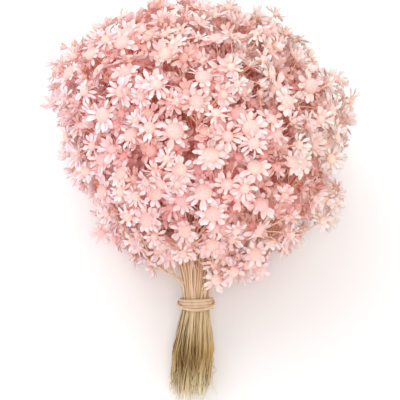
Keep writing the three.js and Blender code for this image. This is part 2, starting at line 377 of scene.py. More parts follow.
def editAll():
    bpy.ops.object.mode_set(mode="EDIT")
    bpy.ops.mesh.select_all(action="SELECT")


def leaveEdit():
    bpy.ops.object.mode_set(mode="OBJECT")


def selectWhere(test):
    bpy.ops.mesh.select_all(action="DESELECT")
    form = bmesh.from_edit_mesh(bpy.context.object.data)
    for vertex in form.verts:
        vertex.select = test(vertex.co)
    form.select_flush(True)
    bmesh.update_edit_mesh(bpy.context.object.data)


def smoothTo(angle):
    bpy.ops.object.shade_smooth_by_angle(angle=radians(angle))


def copyOf(one, matrix):
    copy = one.copy()
    copy.data = one.data.copy()
    bpy.context.collection.objects.link(copy)
    copy.matrix_world = matrix
    return copy


def joined(name, first, *others):
    selectOnly(first, *others)
    bpy.ops.object.join()
    first.name = name
    first.data.name = name
    return first


def applyPlace(one):
    selectOnly(one)
    bpy.ops.object.transform_apply(location=True, rotation=True, scale=True)


def positionsOf(one):
    positions = np.zeros(len(one.data.vertices) * 3, np.float32)
    one.data.vertices.foreach_get("co", positions)
    return positions.reshape(-1, 3)


def writeValues(one, name, values):
    field = one.data.attributes.get(name) or one.data.attributes.new(name, "FLOAT", "POINT")
    values = np.broadcast_to(np.asarray(values, np.float32), len(one.data.vertices))
    field.data.foreach_set("value", values.copy())


# Petals: a papery bract each, pointed, cupped along its middle and closed to a thin shell
petalShapes = {
    "broad": {
        "along": [0, 2.2, 4.6, 6.4, 7.5], "width": [0.9, 1.7, 3.1, 3.1, 1.5],
        "rise": [0, 0.3, 0.5, 0.4, 0.1], "cup": [0.1, 0.4, 0.7, 0.55, 0], "point": 0.6,
    },
    "slender": {
        "along": [0, 2.2, 4.7, 6.7, 7.9], "width": [0.8, 1.4, 2.4, 2.3, 1],
        "rise": [0, 0.1, 0, -0.6, -1.2], "cup": [0.1, 0.3, 0.5, 0.45, 0], "point": 0.6,
    },
    "incurved": {
        "along": [0, 2, 4.2, 5.9, 6.8], "width": [1, 1.9, 3.1, 3, 1.3],
        "rise": [0, 0.2, 0.9, 1.9, 2.7], "cup": [0.1, 0.4, 0.65, 0.5, 0], "point": 0.5,
    },
    "deep": {
        "along": [0, 4.6, 7.2], "width": [1.1, 3.4, 1.2],
        "rise": [0, 0.7, 1], "cup": [0.1, 0.6, 0], "point": 0.6,
    },
}
petalShell = {"thickness": 0.16, "mergeWithin": 0.03, "smoothTo": 70, "benchAt": 5}


def modelPetal(name):
    shape = petalShapes[name]
    along, width, rise, cup = (
        [value * mm for value in shape[key]] for key in ("along", "width", "rise", "cup"))
    last = len(along) - 1
    bench = petalShell["benchAt"]  # metres away, where the shaped rows wait for the others
    deselect()
    bpy.ops.mesh.primitive_grid_add(x_subdivisions=2, y_subdivisions=last, size=1)
    petal = bpy.context.object
    editAll()
    for row in range(last, -1, -1):
        startAt = row / last - 0.5
        selectWhere(lambda point: abs(point.y - startAt) < closeBy and point.z == 0)
        bpy.ops.transform.resize(value=(width[row], 1, 1), center_override=(0, startAt, 0))
        bpy.ops.transform.translate(value=(0, bench + along[row] - startAt, rise[row]))
    bpy.ops.mesh.select_all(action="SELECT")
    bpy.ops.transform.translate(value=(0, -bench, 0))
    for row in range(last):
        selectWhere(lambda point: abs(point.x) < closeBy and abs(point.y - along[row]) < closeBy)
        bpy.ops.transform.translate(value=(0, 0, -cup[row]))
    # The underside is a copy whose middle hangs lower
    bpy.ops.mesh.select_all(action="SELECT")
    bpy.ops.mesh.duplicate()
    bpy.ops.mesh.flip_normals()
    lower = bmesh.from_edit_mesh(petal.data)
    for vertex in lower.verts:
        inMiddle = abs(vertex.co.x) <= closeBy and closeBy <= vertex.co.y <= along[-2] + closeBy
        if vertex.select and not inMiddle:
            vertex.select = False
    bmesh.update_edit_mesh(petal.data)
    bpy.ops.transform.translate(value=(0, 0, -petalShell["thickness"] * mm))
    bpy.ops.mesh.select_all(action="SELECT")
    bpy.ops.mesh.remove_doubles(threshold=petalShell["mergeWithin"] * mm)
    selectWhere(lambda point: abs(point.x) < closeBy and point.y > along[-1] - closeBy)
    bpy.ops.transform.translate(value=(0, shape["point"] * mm, 0))
    leaveEdit()
    smoothTo(petalShell["smoothTo"])
    points = positionsOf(petal)
    writeValues(petal, "reach", points[:, 1] / along[-1])
    writeValues(petal, "across", points[:, 0] / (max(width) / 2))
    return petal


petals = {name: modelPetal(name) for name in petalShapes}
print("modelled", len(petals), "petals,", len(petals["broad"].data.polygons), "faces each")


# The finishes
def newMaterial(name):
    material = bpy.data.materials.new(name)
    material.use_nodes = True
    return material, material.node_tree, material.node_tree.nodes["Principled BSDF"]


def fill(tree, socket, value):
    if isinstance(value, bpy.types.NodeSocket):
        tree.links.new(value, socket)
    else:
        socket.default_value = value


def addNode(tree, kind, inputs=None, **settings):
    node = tree.nodes.new("ShaderNode" + kind)
    for name, value in settings.items():
        setattr(node, name, value)
    for name, value in (inputs or {}).items():
        fill(tree, node.inputs[name], value)
    return node


def readValue(tree, name):
    return addNode(tree, "Attribute", attribute_name=name).outputs["Fac"]


def readPlaces(tree):
    return addNode(tree, "TexCoord").outputs["Object"]


def noiseAt(tree, places, scale, detail=2.0):
    return addNode(tree, "TexNoise", {"Vector": places, "Scale": scale, "Detail": detail}).outputs["Fac"]


def ranged(tree, value, low, high, start=0, end=1):
    inputs = {"Value": value, "From Min": low, "From Max": high, "To Min": start, "To Max": end}
    return addNode(tree, "MapRange", inputs).outputs["Result"]


# A noise is mostly between 0.3 and 0.7
def noiseTo(tree, noise, start, end):
    return ranged(tree, noise, 0.3, 0.7, start, end)


def sumOf(tree, one, other, operation="ADD"):
    return addNode(tree, "Math", {0: one, 1: other}, operation=operation).outputs["Value"]


def times(tree, one, other):
    return sumOf(tree, one, other, "MULTIPLY")


def coloured(tree, value, stops):
    ramp = addNode(tree, "ValToRGB", {"Fac": value})
    ramp.color_ramp.interpolation = "EASE"
    points = ramp.color_ramp.elements
    while len(points) < len(stops):
        points.new(0.5)
    for point, (at, colour) in zip(points, stops):
        point.position = at
        point.color = (*colour, 1)
    return ramp.outputs["Color"]


def mixed(tree, share, one, other, blend="MIX"):
    node = addNode(tree, "Mix", data_type="RGBA", blend_type=blend)
    for index, value in ((0, share), (6, one), (7, other)):  # the sockets that colours use
        fill(tree, node.inputs[index], value)
    return node.outputs[2]


# A finish gives its bump as a strength, and a height in millimetres
def paint(tree, shader, finish, colour, roughness, relief):
    strength, height = finish["bump"]
    bump = addNode(tree, "Bump", {"Height": relief, "Strength": strength, "Distance": height * mm})
    fill(tree, shader.inputs["Base Color"], colour)
    fill(tree, shader.inputs["Roughness"], roughness)
    fill(tree, shader.inputs["Normal"], bump.outputs["Normal"])
    shader.inputs["Specular IOR Level"].default_value = finish["specular"]
    shader.inputs["Sheen Weight"].default_value = finish["sheen"]


petalFinish = {
    # rosy is for blooms deep in the head, as painted shade; pale is for those at its outside
    "rosy": [
        (0, (0.99, 0.46, 0.39)), (0.3, (0.99, 0.6, 0.54)),
        (0.6, (0.99, 0.7, 0.66)), (1, (0.99, 0.79, 0.77)),
    ],
    "pale": [
        (0, (0.95, 0.56, 0.52)), (0.3, (0.95, 0.71, 0.69)),
        (0.55, (0.93, 0.79, 0.78)), (1, (0.92, 0.83, 0.83)),
    ],
    # Painted light: tints for the light across the head, cool at the lower left and warm at the crown and the
    # right
    "lightTints": [(0.12, (0.98, 0.97, 1)), (0.4, (0.99, 0.93, 0.91)), (0.66, (0.94, 1, 0.95))],
    # Painted shade: the rim colour darkens each petal towards its edges
    "rim": (0.84, 0.56, 0.57, 1), "edgeShadeReach": (0.5, 1, 0, 0.42), "toneRange": (-0.2, 0.2),
    "veins": 3.2, "veinStretch": 0.25, "ownVeins": (23, 71), "veinShade": (-0.14, 0.14), "bump": (0.35, 0.3),
    "roughness": (0.5, 0.75), "specular": 0.3, "sheen": 0.15,
}
buttonFinish = {
    "pink": (0.96, 0.58, 0.58, 1), "peach": (0.93, 0.76, 0.66, 1), "toneRange": (-0.4, 0.4),
    # Painted shade: the pit colour darkens the gaps between the florets
    "floretGapShade": (0.94, 0.42, 0.37, 1), "floretGapShadeReach": (0.25, 0.75, 0, 0.5), "florets": 1300, "bump": (0.6, 0.3),
    "roughness": 0.85, "specular": 0.15, "sheen": 0.3,
}
# Painted light: how the tint slants across the head, with patches of tone that varies at random
paintedLightAndPatches = {"from": -0.11, "to": 0.13, "slant": 0.5, "share": 0.8, "patches": 22, "patchRange": (-0.18, 0.18)}
stemFinish = {
    "alongBunch": [
        (0, (0.74, 0.66, 0.5)), (0.05, (0.31, 0.2, 0.08)), (0.12, (0.11, 0.05, 0.012)),
        (0.2, (0.36, 0.22, 0.09)), (0.27, (0.78, 0.54, 0.34)), (0.4, (0.8, 0.54, 0.36)),
        (0.5, (0.97, 0.49, 0.36)), (1, (0.97, 0.49, 0.36)),
    ],
    "palerStrands": [
        (0, (0.92, 0.89, 0.82)), (0.05, (0.78, 0.63, 0.38)), (0.12, (0.56, 0.37, 0.14)),
        (0.2, (0.68, 0.53, 0.31)), (0.28, (0.84, 0.63, 0.44)), (0.42, (0.88, 0.64, 0.46)),
        (0.54, (0.98, 0.66, 0.52)), (1, (0.98, 0.66, 0.52)),
    ],
    "rampLength": 264, "rampDrift": (-0.02, 0.02),
    "patches": 95, "patchStretch": 0.3, "patchReach": (0.35, 0.65, 0, 1.1),
    "fibres": 900, "fibreStretch": 0.06, "fibreReach": (0.5, 1.5, -0.5, 0.5),
    "bump": (0.3, 0.1), "roughness": (0.5, 0.8), "specular": 0.3, "sheen": 0,
}


# Painted light: a gradient across the head, cooler and paler towards the lower left and warmer towards the
# crown and the right, as the light falls on the bunch; its soft patches are tone that varies at random
def readPaintedLightAndPatches(tree):
    places = readPlaces(tree)
    parts = addNode(tree, "SeparateXYZ", {"Vector": places})
    patches = noiseAt(tree, places, paintedLightAndPatches["patches"])
    across = sumOf(tree, parts.outputs["X"], times(tree, parts.outputs["Y"], paintedLightAndPatches["slant"]))
    paintedLightSlant = ranged(tree, across, paintedLightAndPatches["from"], paintedLightAndPatches["to"], 0, paintedLightAndPatches["share"])
    return sumOf(tree, paintedLightSlant, noiseTo(tree, patches, *paintedLightAndPatches["patchRange"]))


# A petal's colour runs from its base to its tip, rosy or pale by its tone, with painted shade at its rim and
# painted light tinting it across the head
def makePetalMaterial():
    material, tree, shader = newMaterial("paperyPetal")
    reach, across = readValue(tree, "reach"), readValue(tree, "across")
    petalTone, bloomTone = readValue(tree, "petalTone"), readValue(tree, "bloomTone")
    tone = sumOf(tree, ranged(tree, petalTone, 0, 1, *petalFinish["toneRange"]), bloomTone)
    byPetal, byBloom = petalFinish["ownVeins"]
    own = sumOf(tree, times(tree, petalTone, byPetal), times(tree, bloomTone, byBloom))
    stretched = times(tree, reach, petalFinish["veinStretch"])
    alongPetal = addNode(tree, "CombineXYZ", {"X": across, "Y": stretched, "Z": own}).outputs["Vector"]
    veins = noiseAt(tree, alongPetal, petalFinish["veins"], detail=3.0)
    shade = sumOf(tree, reach, noiseTo(tree, veins, *petalFinish["veinShade"]))
    rosy = coloured(tree, shade, petalFinish["rosy"])
    pale = coloured(tree, shade, petalFinish["pale"])
    # Painted light: a tint that slants across the head
    lightTint = coloured(tree, readPaintedLightAndPatches(tree), petalFinish["lightTints"])
    # Painted shade: the petal darkens towards its edges
    rim = ranged(tree, sumOf(tree, across, 0, "ABSOLUTE"), *petalFinish["edgeShadeReach"])
    dyed = mixed(tree, rim, mixed(tree, tone, rosy, pale), petalFinish["rim"])
    colour = mixed(tree, 1, dyed, lightTint, "MULTIPLY")
    paint(tree, shader, petalFinish, colour, noiseTo(tree, veins, *petalFinish["roughness"]), veins)
    return material


def makeButtonMaterial():
    material, tree, shader = newMaterial("floretButton")
    florets = addNode(tree, "TexVoronoi", {"Vector": readPlaces(tree), "Scale": buttonFinish["florets"]})
    fromFloret = florets.outputs["Distance"]
    # Painted light and shade: the button is peachier where the painted light is warm, and pinker deeper in
    # the head
    tone = ranged(tree, readValue(tree, "bloomTone"), 0, 1, *buttonFinish["toneRange"])
    base = mixed(tree, sumOf(tree, readPaintedLightAndPatches(tree), tone), buttonFinish["pink"], buttonFinish["peach"])
    # Painted shade: the gaps between the florets are darker
    paintedGapShade = ranged(tree, fromFloret, *buttonFinish["floretGapShadeReach"])
    colour = mixed(tree, paintedGapShade, base, buttonFinish["floretGapShade"])
    relief = sumOf(tree, 1, fromFloret, "SUBTRACT")
    paint(tree, shader, buttonFinish, colour, buttonFinish["roughness"], relief)
    return material


def stretchedNoise(tree, places, stretch, scale):
    stretched = addNode(tree, "Mapping", {"Vector": places, "Scale": (1, stretch, 1)}).outputs["Vector"]
    return noiseAt(tree, stretched, scale)


# Straw in the head, olive and brown in the tail and pale at the cut ends, in streaks along the bunch
def makeStemMaterial():
    material, tree, shader = newMaterial("dryStem")
    turned = addNode(tree, "Mapping", {
        "Vector": readPlaces(tree), "Rotation": (-lying["angle"], 0, 0),
        "Location": Matrix.Rotation(-lying["angle"], 3, "X") @ -inRow(place(0, 0, 0)),
    }).outputs["Vector"]
    parts = addNode(tree, "SeparateXYZ", {"Vector": turned})
    alongBunch = ranged(tree, parts.outputs["Y"], 0, stemFinish["rampLength"] * mm)
    fibres = stretchedNoise(tree, turned, stemFinish["fibreStretch"], stemFinish["fibres"])
    patches = stretchedNoise(tree, turned, stemFinish["patchStretch"], stemFinish["patches"])
    tone = readValue(tree, "bloomTone")
    onRamp = sumOf(tree, alongBunch, ranged(tree, tone, 0, 1, *stemFinish["rampDrift"]))
    darker = coloured(tree, onRamp, stemFinish["alongBunch"])
    paler = coloured(tree, onRamp, stemFinish["palerStrands"])
    streaks = ranged(tree, sumOf(tree, fibres, tone), *stemFinish["fibreReach"])
    light = sumOf(tree, ranged(tree, patches, *stemFinish["patchReach"]), streaks)
    colour = mixed(tree, light, darker, paler)
    paint(tree, shader, stemFinish, colour, noiseTo(tree, fibres, *stemFinish["roughness"]), fibres)
    return material


petalMaterial = makePetalMaterial()
buttonMaterial = makeButtonMaterial()
stemMaterial = makeStemMaterial()

# Blooms, each 10 mm from its middle to its petal tips: petals in two rings, the button, and the cup
# of short bracts behind them. A ring gives its petals' shape, number, lift in degrees and length.
bloomSorts = {
    "open": {"outer": ("broad", 11, 8, 1), "inner": ("slender", 7, 26, 0.88), "button": 4.6},
    "full": {"outer": ("broad", 13, 2, 1), "inner": ("broad", 9, 19, 0.8), "button": 5},
    "cupped": {"outer": ("incurved", 12, 14, 1.04), "inner": ("incurved", 7, 34, 0.84), "button": 4.3},
    "ragged": {"outer": ("broad", 9, -4, 1.04), "inner": ("slender", 6, 15, 0.85), "button": 5.1},
    "halfShut": {"outer": ("incurved", 12, 32, 1.05), "inner": ("incurved", 8, 52, 0.85), "button": 3.5},
    "reflexed": {"outer": ("slender", 13, -14, 1), "inner": ("broad", 9, 6, 0.76), "button": 5.4},
    "pressed": {"outer": ("broad", 13, 4, 1), "inner": ("broad", 10, 9, 0.76), "button": 4},
    "underOpen": {
        "outer": ("broad", 11, 10, 1), "inner": ("slender", 7, 30, 0.85), "button": 3.8, "plain": True,
    },
    "underCupped": {
        "outer": ("incurved", 11, 20, 1), "inner": ("slender", 6, 42, 0.85), "button": 3.4, "plain": True,
    },
    "underRagged": {
        "outer": ("slender", 11, -6, 1.02), "inner": ("broad", 6, 14, 0.82), "button": 4.2, "plain": True,
    },
    "small": {"outer": ("deep", 9, 20, 1), "inner": ("deep", 4, 46, 0.8), "button": 3.6, "plain": True},
    "bud": {"outer": ("broad", 6, 74, 0.62), "inner": ("broad", 3, 84, 0.55), "button": 3.2, "plain": True},
}
fullSize = 10
petalBase = {"outer": (2.5, -0.5), "inner": (2.3, 0.3)}  # radius and height
petalDrift = {
    "turn": 0.14, "stagger": 0.15, "lift": 13, "roll": 24, "width": 0.18,
    "length": 0.13, "lengthDraw": (-1.3, 0.7), "lost": 0.05,
}
buttonForm = {"height": 3, "cutAt": -0.15, "floretHeight": 0.35, "looseness": 0.09}
cupForm = {
    "stem": 0.45, "top": 2.9, "depth": 2.5, "sides": 7, "lip": 0.6, "hollow": 0.4, "bracts": 7,
}
bractForm = {"from": 0.5, "turn": 0.3, "lift": 46, "scales": (0.9, 0.46, 1), "tone": 0.2, "reach": 0.4}
bloomDraw = np.random.default_rng(seeds["blooms"])


def setPetal(shape, turn, radius, height, lift, roll, scales):
    return copyOf(petals[shape], (
        Matrix.Rotation(turn, 4, "Z") @ Matrix.Translation((0, radius * mm, height * mm))
        @ Matrix.Rotation(radians(lift), 4, "X") @ Matrix.Rotation(radians(roll), 4, "Y")
        @ Matrix.Diagonal((*scales, 1))))


def petalRing(sort, ring):
    shape, count, ringLift, ringLength = bloomSorts[sort][ring]
    radius, baseHeight = petalBase[ring]
    start = bloomDraw.random() * tau
    placed = []
    for index in range(count):
        if bloomDraw.random() < petalDrift["lost"]:
            continue
        turn = start + tau * index / count + petalDrift["turn"] * bloomDraw.normal()
        lift = ringLift + petalDrift["lift"] * bloomDraw.normal()
        roll = petalDrift["roll"] * bloomDraw.normal()
        length = ringLength * (1 + petalDrift["length"] * bloomDraw.uniform(*petalDrift["lengthDraw"]))
        width = 1 + petalDrift["width"] * bloomDraw.uniform(-1, 1)
        height = baseHeight + petalDrift["stagger"] * (index % 2)
        petal = setPetal(shape, turn, radius, height, lift, roll, (width, length, length))
        writeValues(petal, "petalTone", bloomDraw.random())
        placed.append(petal)
    return placed


def modelButton(radius, plain):
    deselect()
    bpy.ops.mesh.primitive_ico_sphere_add(subdivisions=2, radius=radius * mm)
    button = bpy.context.object
    editAll()
    cut = buttonForm["cutAt"] * radius * mm
    bpy.ops.mesh.bisect(plane_co=(0, 0, cut), plane_no=(0, 0, 1), use_fill=True, clear_inner=True)
    selectWhere(lambda point: point.z > cut + closeBy)
    if not plain:
        bpy.ops.mesh.poke(offset=buttonForm["floretHeight"] * mm)
    bpy.ops.mesh.select_all(action="SELECT")
    bpy.ops.transform.resize(value=(1, 1, buttonForm["height"] / radius), center_override=(0, 0, 0))
    selectWhere(lambda point: point.z > cut + closeBy)
    bpy.ops.transform.vertex_random(offset=buttonForm["looseness"] * mm, seed=seeds["buttons"])
    leaveEdit()
    bpy.ops.object.shade_smooth()
    return button


def modelCup(bractCount):
    depth = cupForm["depth"]
    deselect()
    bpy.ops.mesh.primitive_cone_add(
        vertices=cupForm["sides"], radius1=cupForm["stem"] * mm, radius2=cupForm["top"] * mm,
        depth=depth * mm, location=(0, 0, -depth / 2 * mm))
    cup = bpy.context.object
    bpy.ops.object.transform_apply(location=True)
    editAll()
    selectWhere(lambda point: point.z > -closeBy)
    bpy.ops.mesh.inset(thickness=cupForm["lip"] * mm, depth=cupForm["hollow"] * mm)
    leaveEdit()
    smoothTo(50)
    bracts = []
    for index in range(bractCount):
        turn = tau * (index + bractForm["turn"] * bloomDraw.random()) / bractCount
        bract = setPetal("broad", turn, bractForm["from"], -depth, bractForm["lift"], 0, bractForm["scales"])
        writeValues(bract, "petalTone", bractForm["tone"] * bloomDraw.random())
        reach = positionsOf(bract)[:, 1] / (petalShapes["broad"]["along"][-1] * mm)
        writeValues(bract, "reach", bractForm["reach"] * reach)
        bracts.append(bract)
    return cup, bracts


def modelBloom(sort):
    plain = bloomSorts[sort].get("plain", False)
    button = modelButton(bloomSorts[sort]["button"], plain)
    cup, bracts = modelCup(0 if plain else cupForm["bracts"])
    rings = [*petalRing(sort, "outer"), *petalRing(sort, "inner")]
    button.data.materials.append(buttonMaterial)
    cup.data.materials.append(stemMaterial)
    for name, value in (("petalTone", 0.5), ("reach", 0.5), ("across", 0)):
        writeValues(button, name, value)
    return joined(sort + "Bloom", button, cup, *bracts, *rings)


for petal in petals.values():
    petal.data.materials.append(petalMaterial)
bloomModels = {sort: modelBloom(sort) for sort in bloomSorts}
print("modelled", {sort: len(model.data.polygons) for sort, model in bloomModels.items()})

# More blooms in a second layer, buds between them, and small blooms deep in the head. Angles are in
# degrees, from the crown and round the axis, and depths are under the head's outline.
extraBlooms = [
    {"sorts": ["underOpen", "underCupped", "bud"], "limit": 40, "tries": 3000, "lowest": 160,
     "radius": (6.5, 8.5), "depth": (-4, 0), "tilt": 0.9, "apart": 9, "overlap": 0.5},
    {"sorts": ["underOpen", "underRagged"], "limit": 16, "tries": 3000, "highest": 154, "lowest": 172,
     "turns": (-10, 75), "radius": (8, 10), "depth": (-7, 6), "tilt": 0.5, "apart": 8.5, "overlap": 0.5},
    {"sorts": ["underOpen", "underCupped", "underRagged"], "limit": 150, "tries": 9000, "lowest": 160,
     "radius": (7, 9.6), "depth": (-1, 6), "tilt": 0.8, "apart": 8, "overlap": 0.5},
    {"sorts": ["underOpen", "underCupped", "underRagged"], "limit": 400, "tries": 16000, "lowest": 160,
     "radius": (8.2, 10.8), "depth": (4, 24), "tilt": 0.8, "apart": 7, "overlap": 0.66},
    {"sorts": ["bud"], "limit": 50, "tries": 3000, "lowest": 160,
     "radius": (6, 8.2), "depth": (1, 14), "tilt": 0.35, "apart": 7.4, "overlap": 0.6},
    {"sorts": ["small"], "limit": 190, "tries": 8000, "lowest": 150,
     "radius": (6.5, 9), "depth": (10, 28), "tilt": 0.6, "apart": 7, "overlap": 0.6},
    {"sorts": ["small"], "limit": 170, "tries": 8000, "lowest": 150,
     "radius": (10, 13), "depth": (28, 52), "tilt": 0.3, "apart": 8, "overlap": 0.45},
]
hollowForm = {
    "count": 40, "halfAngle": radians(6), "depth": 16,
    "bareAt": [(147, 36), (147, -36), (150, 0)], "bareHalfAngle": radians(9),
}
extraForm = {
    "proud": 2, "floorGap": 2, "rootBack": 14, "towardsTop": 0.25, "toCentre": (0, 4), "toRim": (0, 1),
}
extraDraw = np.random.default_rng(seeds["extras"])


def nearestOnStalk(spray, point):
    aboveTie = spray["stalk"][3:]
    points = np.array([
        start + (end - start) * share
        for start, end in zip(aboveTie, aboveTie[1:]) for share in spacing["runShares"]])
    fromTop = np.arange(len(points))[::-1]
    reach = np.linalg.norm(points - point, axis=1) + extraForm["towardsTop"] * fromTop
    return points[int(np.argmin(reach))]


def planExtra(spray, fromCrown, turn, form):
    depth, radius = extraDraw.uniform(*form["depth"]), extraDraw.uniform(*form["radius"])
    sort, lean = extraDraw.choice(form["sorts"]), extraDraw.normal(size=3)
    way = outwards(fromCrown, turn)
    centre = headCentre + way * (headReach(fromCrown, turn) - depth)
    if centre[2] < radius + extraForm["floorGap"]:
        return None
    root = nearestOnStalk(spray, centre - spray["endWay"] * extraForm["rootBack"])
    face = unit(unit(centre - root) + way + form["tilt"] * lean)
    calyx = centre - face * bloomForm["calyxDepth"] * radius / fullSize
    return newBloom(
        spray, centre, face, radius, root=root, calyx=calyx, pressed=False, sort=sort, depth=depth)


# An extra bloom stands only a little out of the solids' box
def isInBox(one):
    low, high = (np.array(corner) for corner in cadBox)
    reach = (one["radius"] * np.sqrt(1 - one["face"] ** 2) - extraForm["proud"]) * mm
    middle = np.array(inRow(one["centre"]))
    return bool((middle - reach > low).all() and (middle + reach < high).all())


# An extra bloom may reach between the petals of others, but not into their buttons
def hasRoom(one, others, form):
    discs = columns(others, *discKeys)
    apart = np.linalg.norm(discs[0] - one["centre"], axis=1)
    if apart.min() < form["apart"]:
        return False
    near = apart < discs[-1] + one["radius"]
    return not meetsDiscs(one, discs, near, form["overlap"], extraForm["toCentre"], extraForm["toRim"])


# Hollows between the blooms, where the stems show, are left open
def planExtras():
    ways = np.array([spray["way"] for spray in sprays])
    hollows = np.array([
        outwards(angleOf(extraDraw.random()), extraDraw.random() * tau)
        for _ in range(hollowForm["count"])])
    bareWays = np.array([outwards(*np.radians(angles)) for angles in hollowForm["bareAt"]])
    extras = []
    for form in extraBlooms:
        wanted = len(extras) + form["limit"]
        highest, lowest = (cos(radians(form.get(end, 0))) for end in ("highest", "lowest"))
        for _ in range(form["tries"]):
            if len(extras) == wanted:
                break
            fromCrown = acos(highest + (lowest - highest) * extraDraw.random())
            turn = radians(extraDraw.uniform(*form.get("turns", (0, 360))))
            way = outwards(fromCrown, turn)
            spray = sprays[int(np.argmax(ways @ way))]
            one = planExtra(spray, fromCrown, turn, form)
            atBareStems = (bareWays @ way).max() > cos(hollowForm["bareHalfAngle"])
            if one is None or atBareStems or not isInBox(one):
                continue
            inHollow = (hollows @ way).max() > cos(hollowForm["halfAngle"])
            if inHollow and one["depth"] < hollowForm["depth"]:
                continue
            if hasRoom(one, blooms + extras, form):
                extras.append(one)
        print("planned", len(extras) - wanted + form["limit"], "more, such as", form["sorts"][0])
    return extras


extras = planExtras()

# Stems: every bloom has its own, from the cut ends through the neck to its cup. Spread gives how far
# apart the stems of a spray are at each point of its stalk.
stemForm = {
    "radius": 0.48, "topRadius": 0.34, "bundle": 0.46, "spread": [1.9, 1.7, 1, 1, 2.2, 3.2, 1.4, 0.6],
    "cutJitter": 1.6, "tailShare": 0.6, "cutRange": 5, "cutDraw": (-0.3, 1), "alwaysKept": 5, "beforeRoot": 3,
    "steps": 2, "sag": 0.06, "intoCup": 0.3, "floorGap": 0.05,
}
forkForm = {"below": 4, "step": 0.06, "bow": 2, "steps": 2, "lowest": 0.4}
shredForm = {
    "count": 7, "radius": 0.16, "jitter": 2, "shares": (1.5, 1.2, 1, 0.3), "cutDraw": (-0.5, 1),
    "tone": 0.75, "lowest": 0.3,
}
stemDraw = np.random.default_rng(seeds["stems"])


def smoothLine(points, steps):
    points = np.array(points)
    ends = np.vstack([2 * points[0] - points[1], points, 2 * points[-1] - points[-2]])
    line = []
    for before, start, end, after in zip(ends, ends[1:], ends[2:], ends[3:]):
        for share in np.arange(steps) / steps:
            line.append(0.5 * (
                2 * start + (end - before) * share + (2 * before - 5 * start + 4 * end - after) * share**2
                + (3 * start - before - 3 * end + after) * share**3))
    return np.array([*line, points[-1]])


# Points and radii of a stem, none of them lower than it may be
def overFloor(line, radii, lowest):
    line[:, 2] = np.maximum(line[:, 2], lowest)
    return list(zip(line, np.broadcast_to(radii, len(line))))


def planStem(spray, bloom, order):
    stalk, sideway, root = spray["stalk"], spray["sideway"], bloom["root"]
    turn = goldenTurn(order)
    fromMiddle = stemForm["bundle"] * sqrt(order)
    points = []
    for index, point in enumerate(stalk):
        before, after = stalk[max(index - 1, 0)], stalk[min(index + 1, len(stalk) - 1)]
        across = unit(np.cross(after - before, sideway))
        offset = (sideway * cos(turn) + across * sin(turn)) * fromMiddle * stemForm["spread"][index]
        points.append(point + offset)
    points[0] = (
        points[0] + stemDraw.normal(size=3) * stemForm["cutJitter"]
        + axisUp * stemDraw.uniform(*stemForm["cutDraw"]) * stemForm["cutRange"])
    points[1] = points[1] + stemDraw.normal(size=3) * stemForm["cutJitter"] * stemForm["tailShare"]
    if not bloom["atEnd"]:
        apart = stemForm["beforeRoot"]
        points = [
            point for index, point in enumerate(points) if index < stemForm["alwaysKept"]
            or dot(root - point, spray["endWay"]) > apart and dot(root - point, root - point) > apart**2]
        points.append(root)
    middle = (points[-1] + bloom["calyx"]) / 2
    bow = (unit(bloom["calyx"] - root) - bloom["face"]) * stemForm["sag"] * dist(root, bloom["calyx"])
    inCup = bloom["calyx"] + bloom["face"] * stemForm["intoCup"]
    line = smoothLine([*points, middle + bow, inCup], stemForm["steps"])
    radii = np.linspace(stemForm["radius"], stemForm["topRadius"], len(line))
    return overFloor(line, radii, radii + stemForm["floorGap"])


# An extra bloom's stem forks off the spray's own a little below its root
def planFork(spray, bloom, order):
    start = bloom["root"] - spray["endWay"] * (forkForm["below"] + forkForm["step"] * order)
    bowed = (bloom["root"] + bloom["calyx"]) / 2 + spray["endWay"] * forkForm["bow"]
    inCup = bloom["calyx"] + bloom["face"] * stemForm["intoCup"]
    line = smoothLine([start, bloom["root"], bowed, inCup], forkForm["steps"])
    return overFloor(line, stemForm["topRadius"], forkForm["lowest"])


# Thin shreds of dry leaf hang along the cut tail
def planShred(spray):
    cutEnd, tail, underTie = spray["stalk"][:3]
    points = [
        point + stemDraw.normal(size=3) * shredForm["jitter"] * share
        for point, share in zip((cutEnd, (cutEnd + tail) / 2, tail, underTie), shredForm["shares"])]
    points[0] = points[0] + axisUp * stemDraw.uniform(*shredForm["cutDraw"]) * stemForm["cutRange"]
    return overFloor(smoothLine(points, stemForm["steps"]), shredForm["radius"], shredForm["lowest"])


def modelStems(spray, carried):
    bpy.ops.curve.primitive_bezier_curve_add()
    bundle = bpy.context.object
    form = bundle.data
    form.splines.clear()
    form.dimensions = "3D"
    form.bevel_depth = mm
    form.bevel_resolution = 1
    form.use_fill_caps = True
    lines = [
        planFork(spray, bloom, order) if "sort" in bloom else planStem(spray, bloom, order)
        for order, bloom in enumerate(carried)]
    lines += [planShred(spray) for _ in range(shredForm["count"])]
    for line in lines:
        spline = form.splines.new("POLY")
        spline.points.add(len(line) - 1)
        for point, (position, radius) in zip(spline.points, line):
            point.co = (*inRow(position), 1)
            point.radius = radius
    bundle.matrix_world = Matrix.Identity(4)
    selectOnly(bundle)
    bpy.ops.object.convert(target="MESH")
    stems = bpy.context.object
    counts = np.array([len(line) for line in lines])
    tones = stemDraw.random(len(lines))
    tones[-shredForm["count"]:] += shredForm["tone"]
    sides = len(stems.data.vertices) // (counts.sum() + 2 * len(lines))
    # The caps' corners come first, from the last stem to the first, and then the tubes' own
    writeValues(stems, "bloomTone", [*np.repeat(tones[::-1], 2 * sides), *np.repeat(tones, counts * sides)])
    editAll()
    bpy.ops.mesh.remove_doubles(threshold=0.001 * mm)
    leaveEdit()
    stems.data.materials.clear()
    stems.data.materials.append(stemMaterial)
    smoothTo(60)
    return stems


# Each spray: its stems with its blooms set on them
sortShares = {"open": 0.22, "full": 0.22, "cupped": 0.16, "ragged": 0.18, "halfShut": 0.1, "reflexed": 0.12}
